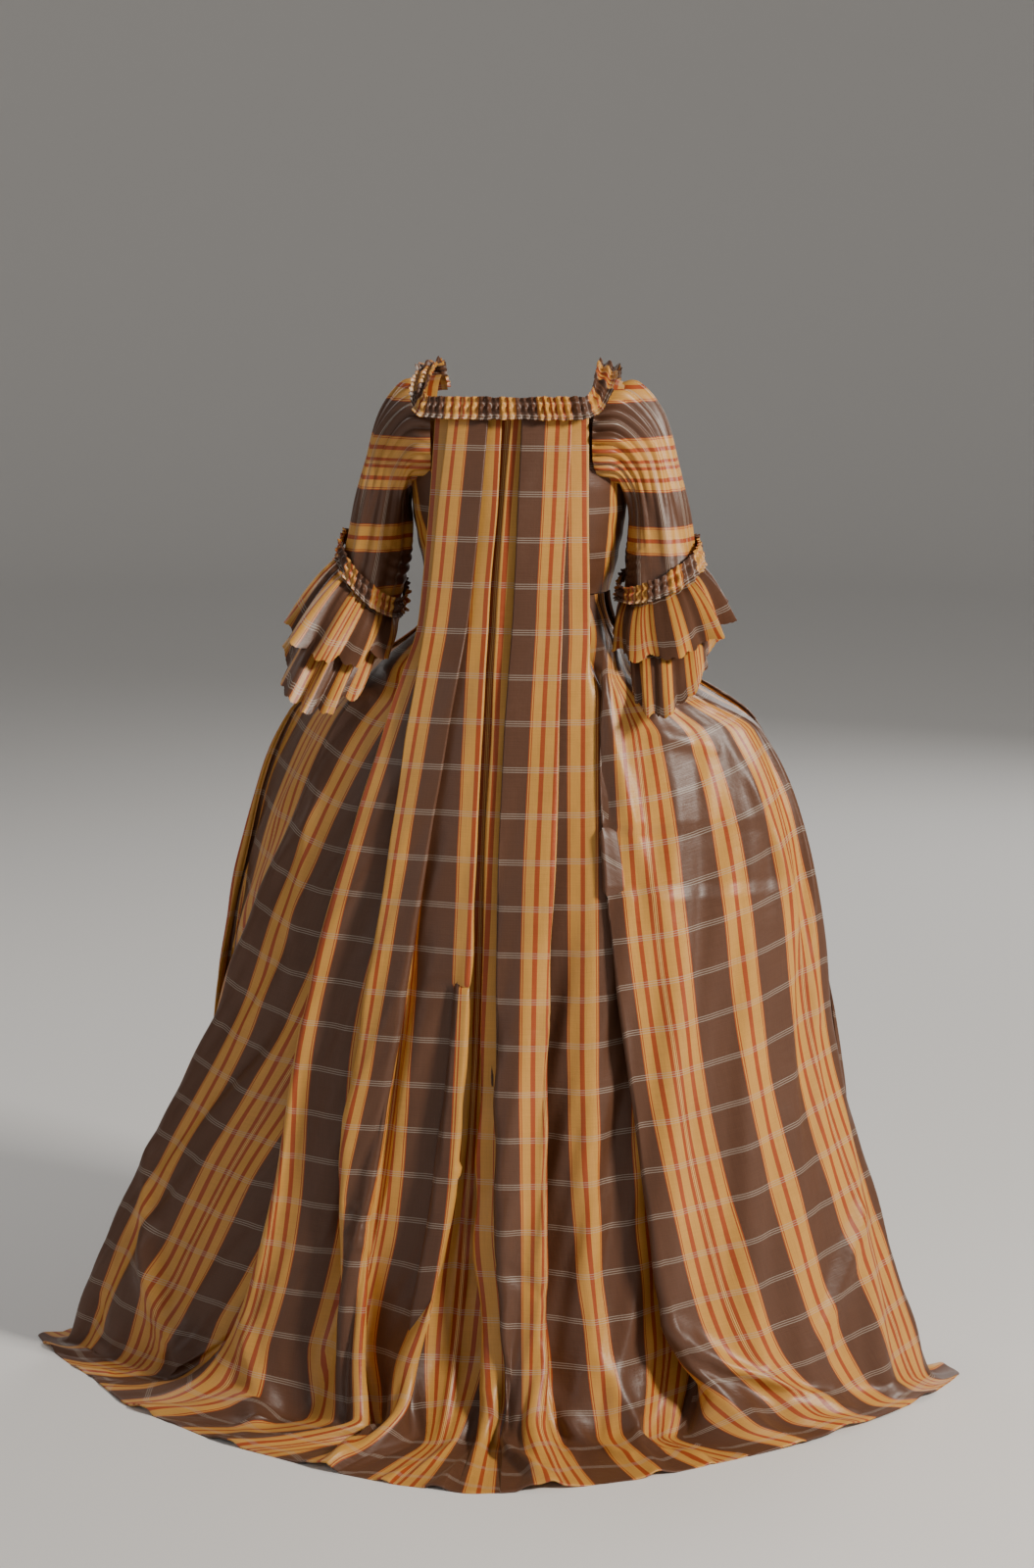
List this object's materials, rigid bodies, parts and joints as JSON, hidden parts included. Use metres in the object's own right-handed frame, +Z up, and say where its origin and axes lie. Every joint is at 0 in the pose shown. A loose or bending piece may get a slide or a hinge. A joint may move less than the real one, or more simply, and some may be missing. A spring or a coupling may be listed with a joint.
{
  "type": "robe a la francaise",
  "caption": "Striped silk gown with a pleated sack back, wide side hoops, a short train, elbow sleeves with pinked flounces and an open front.",
  "frame": {"origin": "midway between the tops of the shoulder straps, where the wearer's shoulders hold the gown", "axes": "+Z up along the body, -Y towards the sack back and train, +X towards the wearer's right side"},
  "size_m": [1.3351, 0.7911, 1.4193],
  "materials": {
    "silk": "ribbed silk with yellow and rust stripes on brown",
    "trim": "gathered bands of the same silk"
  },
  "bodies": {
    "root": {"front_skirt_left": "silk", "side_left": "silk", "back_left": "silk", "back_right": "silk", "side_right": "silk", "front_skirt_right": "silk", "bodice_side_left": "silk", "bodice_front_left": "silk", "shoulder_strap_left": "silk", "sleeve_left": "silk", "cuff_ruche_left": "trim", "flounce_upper_left": "silk", "flounce_lower_left": "silk", "robing_left": "trim", "bodice_side_right": "silk", "bodice_front_right": "silk", "shoulder_strap_right": "silk", "sleeve_right": "silk", "cuff_ruche_right": "trim", "flounce_upper_right": "silk", "flounce_lower_right": "silk", "robing_right": "trim", "neck_ruche": "trim"}
  },
  "joints": []
}
